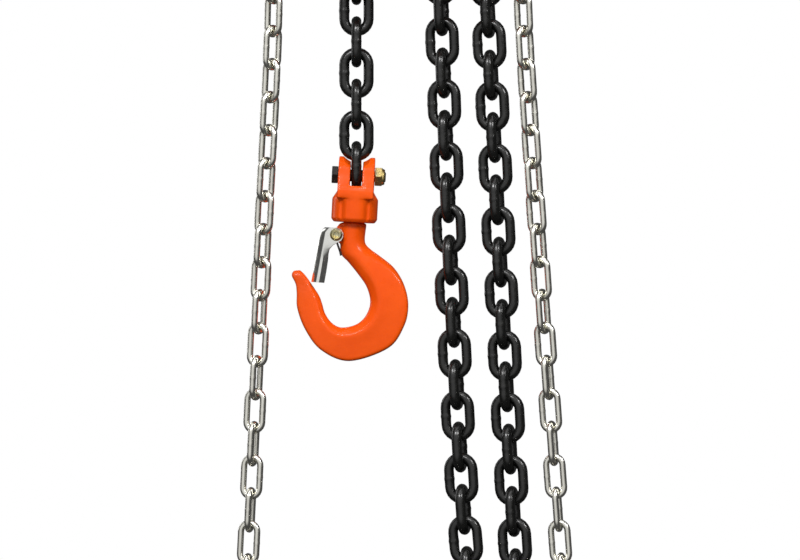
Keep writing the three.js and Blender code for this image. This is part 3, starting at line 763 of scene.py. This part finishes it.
# ---- Bolt heads and nuts ----
def hexagon(flats, low, high, axis, chamfer_high=False, bore=None, sides=72):
    """A hexagon across flats along an axis matrix's Z, its corners turned down where chamfered.

    The low end is always chamfered. All in millimetres."""
    angles = [2 * math.pi * j / sides for j in range(sides)]
    face = flats / 2 * 0.96
    drop = math.tan(math.radians(28))
    countersink = 0.4

    def corner(angle):
        return flats / 2 / math.cos((angle + math.pi / 6) % (math.pi / 3) - math.pi / 6)

    def ring(radius, height):
        points = [(radius(a) * math.cos(a), radius(a) * math.sin(a), height(a)) for a in angles]
        return [axis @ (Vector(point) * MM) for point in points]

    rings = [ring(lambda a: face, lambda a: low)]
    rings.append(ring(corner, lambda a: low + (corner(a) - face) * drop))
    if chamfer_high:
        rings.append(ring(corner, lambda a: high - (corner(a) - face) * drop))
        rings.append(ring(lambda a: face, lambda a: high))
    else:
        rings.append(ring(corner, lambda a: high))
    if bore:
        rings.insert(0, ring(lambda a: bore, lambda a: low + countersink))
        rings.append(ring(lambda a: bore, lambda a: high - countersink))
    return loft(rings, closed=bool(bore))


def threaded(radius, low, high, pitch, axis, sides=36):
    """A stretch of bolt with thread ridges, chamfered at its high end. All in millimetres."""
    thread_depth = 0.45 * pitch
    profile = [(0.5, low), (radius, low)]
    height = low
    while height + pitch < high - pitch:
        profile += [(radius, height), (radius - thread_depth, height + pitch / 2)]
        height += pitch
    profile += [(radius, height), (radius, high - pitch), (radius - pitch, high), (0.5, high)]
    return turned(profile, axis, sides)


def bolt_finish(node, *solids):
    """A bolt or nut made of several solids, standing for its CAD node."""
    mesh = mesh_from(node, *joined(*solids))
    piece(f"{node}_finish", mesh, SLOT_OF[node], BODY_OF[node], (node,), sharp=30)


def chain_pin():
    """The bolt through the yoke's ears and the lowest link, with its lock nut."""
    axis = LOWER @ Matrix.Rotation(QUARTER, 4, "Y")
    head = hexagon(12.9, -18.9, -14.2, axis)
    shank = turned([(0.5, -14.6), (4.6, -14.6), (4.6, 14), (0.5, 14)], axis)
    thread = threaded(4.5, 13.8, 22.6, 1.25, axis)
    bolt_finish("chain_pin_bolt", head, shank, thread)
    nut = hexagon(13.8, 14.2, 19.8, axis, chamfer_high=True, bore=4.8)
    crown = turned([(4.7, 19.4), (6.3, 19.4), (6.2, 20.8), (5.5, 21.8), (4.7, 21.8)], axis)
    bolt_finish("chain_pin_nut", nut, crown)


chain_pin()


def latch_bolt(place, node):
    """The latch's hinge bolt, with a dished head in front and a plain end behind."""
    axis = place @ HINGE_LINE
    dish = [(0.5, -11.2), (1.9, -11.4), (2.3, -12.4), (3.4, -12.5), (4.7, -11.5), (5, -9.6), (0.5, -9.6)]
    shank = [(0.5, -9.8), (3, -9.8), (3, 11.8), (2.6, 12.2), (0.5, 12.2)]
    bolt_finish(node, turned(dish, axis), turned(shank, axis))


def wire(points, radius, sides=10):
    """A round wire swept along a list of points."""
    rings = []
    side = Vector((0, 1, 0))
    for i, point in enumerate(points):
        ahead = (points[min(i + 1, len(points) - 1)] - points[max(i - 1, 0)]).normalized()
        side = (side - ahead * side.dot(ahead)).normalized()
        other = ahead.cross(side)
        angles = [2 * math.pi * j / sides for j in range(sides)]
        rings.append([point + (side * math.cos(a) + other * math.sin(a)) * radius for a in angles])
    return loft(rings)


def latch_spring(place, node, offset):
    """Torsion spring: coils round the latch bolt, one leg down the neck of the hook."""
    radius, coil = 0.85 * MM, 4.1 * MM
    turns, steps = 1.75, 60
    points = []
    for i in range(steps + 1):
        angle = math.radians(-75) - 2 * math.pi * turns * i / steps
        y = -6.5 * MM + 1.4 * MM * i / steps
        points.append(LATCH_HINGE + Vector((coil * math.cos(angle), y, coil * math.sin(angle))))
    leg = [Vector((shifted(x, z, offset) * MM, -6.6 * MM, z * MM))
           for x, z in ((-8.6, -62), (-9.4, -59), (-11.2, -54.6), (-12.2, -52))]
    mesh = mesh_from(node, *wire(leg + points, radius), place)
    piece(f"{node}_wire", mesh, SLOT_OF[node], BODY_OF[node], (node,), sharp=60)


def latch(place, node, offset):
    """A pressed channel: a web with wide bends and two cheeks with the eyes, open towards the neck."""
    left_top, left_low = Vector((-24.7, -40.9)), Vector((-30.4, -83.4))
    right = [
        (-13, -40.7), (-9.6, -41.9), (-7.8, -44.6), (-7.7, -47.6), (-9, -50.4), (-12, -52.2),
        (-15.4, -54.4), (-17.8, -57.5), (-18.4, -61), (-18.5, -66), (-19.4, -75), (-20.5, -83.6),
    ]
    outside, wall = 9.1, 1.5
    bend = [(0, 4.6), (0.35, 4), (3.3, 0.4), (3.9, 0)]
    rings = []
    for x_right, z_right in right:
        t = (z_right - left_top.y) / (left_low.y - left_top.y)
        x_left, z_left = left_top.lerp(left_low, min(max(t, 0), 1))
        x_left += 2.6 * (1 - ease(-z_right, 40.7, 43.5))
        x_left, x_right = shifted(x_left, z_left, offset), shifted(x_right, z_right, offset)
        waist = x_left + max((x_right - x_left) * 0.6, 4.4)
        turn_in = 2.0 * ease(t, 0.3, 0.5)
        middle = (z_left + z_right) / 2
        ring = []
        for inset, order in ((0, 1), (wall, -1)):
            front = [(x_right, outside - turn_in - inset, z_right), (waist, outside - inset, middle)]
            front += [(x_left + inset + out, outside - back - inset, z_left) for out, back in bend[::-1]]
            path = [(x, -y, z) for x, y, z in front] + front[::-1]
            ring += path[::order]
        rings.append([Vector(point) * MM for point in ring])
    mesh = mesh_from(node, *loft(rings), place)
    piece(f"{node}_pressing", mesh, SLOT_OF[node], BODY_OF[node], (node,), sharp=24)


for place, prefix, offset in ((LOWER, "load", 0.0), (UPPER, "top", BOWL_SHIFT)):
    latch(place, f"{prefix}_latch", offset)
    latch_bolt(place, f"{prefix}_latch_bolt")
    latch_spring(place, f"{prefix}_latch_spring", offset)

# ---- Everything else keeps its CAD shape with broken edges ----
FINISHED = {entry for made in bpy.data.objects for entry in made.get("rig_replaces", [])}
SMALL_EDGE = 0.35
EDGE_WIDTH = {
    "hand_wheel_cover": 1.2, "gear_cover": 1.2, "front_side_plate": 0.8, "rear_side_plate": 0.8,
    "hand_wheel": 0.6, "load_sheave": 0.8, "hand_chain_guide_left": 0.8, "hand_chain_guide_right": 0.8,
}
for node in frame["nodes"]:
    if node not in FINISHED:
        chamfered(node, EDGE_WIDTH.get(node, SMALL_EDGE))

RIDGES = ((98, 3.2, 1.5), (74, 2.6, 1.3))  # radius, half width and height of each, in millimetres
RIDGE_SIDES = 96
COVER_FRONT = 84  # millimetres from the load chain's plane


def cover_ridges():
    """Two pressed rings on the front of the hand wheel cover."""
    axis = Matrix.Translation(AXIS) @ Matrix.Rotation(QUARTER, 4, "X")
    angles = [2 * math.pi * k / RIDGE_SIDES for k in range(RIDGE_SIDES)]
    rings = []
    for radius, half, height in RIDGES:
        rise = [(half, -0.8), (half, 0.05), (half * 0.7, height * 0.6), (half * 0.3, height)]
        outline = [(-out, up) for out, up in rise] + rise[::-1]
        skin = []
        for a in angles:
            points = [(radius + out, COVER_FRONT + up) for out, up in outline]
            skin.append([axis @ (Vector((r * math.cos(a), r * math.sin(a), y)) * MM) for r, y in points])
        rings.append(loft(skin, closed=True))
    cover = "hand_wheel_cover"
    mesh = mesh_from("cover_ridges", *joined(*rings))
    piece(f"{cover}_ridges", mesh, SLOT_OF[cover], BODY_OF[cover], sharp=50)


cover_ridges()

# ---- Floor and light ----
FLOOR_GAP = 0.06
FLOOR_SIZE = 2.2  # half a side
GLOW_FROM = (-0.25, -0.85, 0.35)
FRONT_GLOW = 0.92
ROOM_GLOW = 0.08


def studio():
    """A pale floor under the hanging loops, which throws no light back up."""
    pale = bpy.data.materials.new("floor")
    pale.use_nodes = True
    shader = pale.node_tree.nodes["Principled BSDF"]
    shader.inputs["Base Color"].default_value = (0.55, 0.55, 0.55, 1)
    shader.inputs["Roughness"].default_value = 0.9
    shader.inputs["Emission Color"].default_value = (1, 1, 1, 1)
    shader.inputs["Emission Strength"].default_value = 0.5
    lowest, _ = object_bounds()
    level = lowest.z - FLOOR_GAP
    corners = [(-FLOOR_SIZE, -FLOOR_SIZE), (FLOOR_SIZE, -FLOOR_SIZE)]
    corners += [(FLOOR_SIZE, FLOOR_SIZE), (-FLOOR_SIZE, FLOOR_SIZE)]
    mesh = bpy.data.meshes.new("floor")
    mesh.from_pydata([(x, y, level) for x, y in corners], [], [(0, 1, 2, 3)])
    mesh.materials.append(pale)
    floor = bpy.data.objects.new("floor", mesh)
    floor.visible_diffuse = False
    floor.visible_glossy = False
    bpy.context.scene.collection.objects.link(floor)


def softbox(name, place, size, power, mirrored=True):
    """A rectangular lamp that faces the middle of the view, seen in glossy surfaces if mirrored."""
    data = bpy.data.lights.new(name, "AREA")
    data.shape = "RECTANGLE"
    data.size, data.size_y = size
    data.energy = power
    lamp = bpy.data.objects.new(name, data)
    lamp.visible_glossy = mirrored
    lamp.location = place
    lamp.rotation_euler = (VIEW_CENTRE - Vector(place)).to_track_quat("-Z", "Y").to_euler()
    bpy.context.scene.collection.objects.link(lamp)


def surroundings():
    """White to the eye. To the surfaces it glows from in front and above, and is dim elsewhere."""
    world = bpy.data.worlds.new("surroundings")
    world.use_nodes = True
    tree = world.node_tree
    nodes = tree.nodes
    facing = nodes.new("ShaderNodeVectorMath")
    facing.operation = "DOT_PRODUCT"
    facing.inputs[1].default_value = Vector(GLOW_FROM).normalized()
    tree.links.new(nodes.new("ShaderNodeTexCoord").outputs["Generated"], facing.inputs[0])
    glow = nodes.new("ShaderNodeMapRange")
    glow.interpolation_type = "SMOOTHSTEP"
    glow.inputs["From Min"].default_value = 0.4
    glow.inputs["From Max"].default_value = 0.9
    glow.inputs["To Min"].default_value = ROOM_GLOW
    glow.inputs["To Max"].default_value = FRONT_GLOW
    tree.links.new(facing.outputs["Value"], glow.inputs["Value"])
    lit = nodes.new("ShaderNodeBackground")
    tree.links.new(glow.outputs["Result"], lit.inputs["Strength"])
    seen = nodes["Background"]
    seen.inputs["Color"].default_value = (1, 1, 1, 1)
    seen.inputs["Strength"].default_value = 1.0
    choice = nodes.new("ShaderNodeMixShader")
    tree.links.new(nodes.new("ShaderNodeLightPath").outputs["Is Camera Ray"], choice.inputs[0])
    tree.links.new(lit.outputs["Background"], choice.inputs[1])
    tree.links.new(seen.outputs["Background"], choice.inputs[2])
    tree.links.new(choice.outputs["Shader"], nodes["World Output"].inputs["Surface"])
    bpy.context.scene.world = world


studio()
surroundings()
softbox("key", (-0.6, -1.9, 1.0), (1.2, 0.45), 36)
softbox("fill", (1.4, -1.5, 0.7), (0.5, 0.5), 21)
softbox("top", (0.2, -0.4, 1.6), (1.6, 1.2), 12)
softbox("rim", (-1.7, 1.1, 0.1), (0.5, 1.6), 6)
softbox("back", (0.4, 2.2, 0.7), (1.6, 1.2), 50, mirrored=False)
